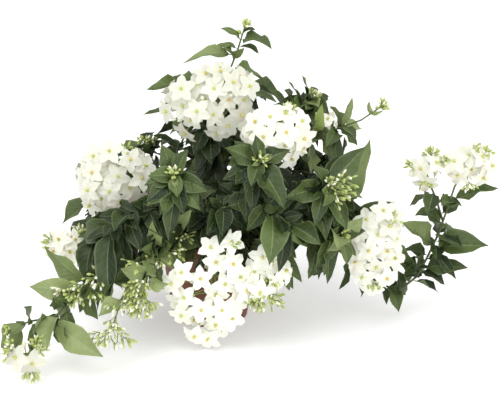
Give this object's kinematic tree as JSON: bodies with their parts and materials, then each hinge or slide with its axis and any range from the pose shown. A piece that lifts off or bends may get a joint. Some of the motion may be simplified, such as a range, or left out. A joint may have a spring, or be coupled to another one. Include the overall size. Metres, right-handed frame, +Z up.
{
  "type": "potted potato vine",
  "caption": "Flowering potato vine in a small nursery pot: arching leafy stems, domed heads of white star flowers, trailing side stems",
  "frame": {"origin": "centre of the flat underside of the pot's base", "axes": "+Z up, +X to the right of the plant seen from its front, +Y to its back"},
  "size_m": [0.4826, 0.3208, 0.3011],
  "materials": {
    "pot_plastic": "satin",
    "soil": "matte",
    "foliage": "satin",
    "petals": "matte"
  },
  "bodies": {
    "root": {"stem_top": "foliage", "stem_crown_right": "foliage", "stem_front_left": "foliage", "stem_front_middle": "foliage", "stem_front_right": "foliage", "stem_left_high": "foliage", "stem_left": "foliage", "stem_trailing_left": "foliage", "stem_hanging_buds": "foliage", "stem_low_head": "foliage", "stem_right_head": "foliage", "stem_trailing_right": "foliage", "stem_back_left": "foliage", "stem_back_middle": "foliage", "stem_back_right": "foliage", "pot": "pot_plastic", "soil": "soil", "head_crown": "petals", "head_middle": "petals", "head_left": "petals", "head_far_left": "petals", "head_trailing_left": "petals", "head_low": "petals", "head_low_right": "petals", "head_right": "petals", "head_far_right": "petals", "head_small_right": "petals", "head_back_left": "petals", "head_back_right": "petals"}
  },
  "joints": []
}
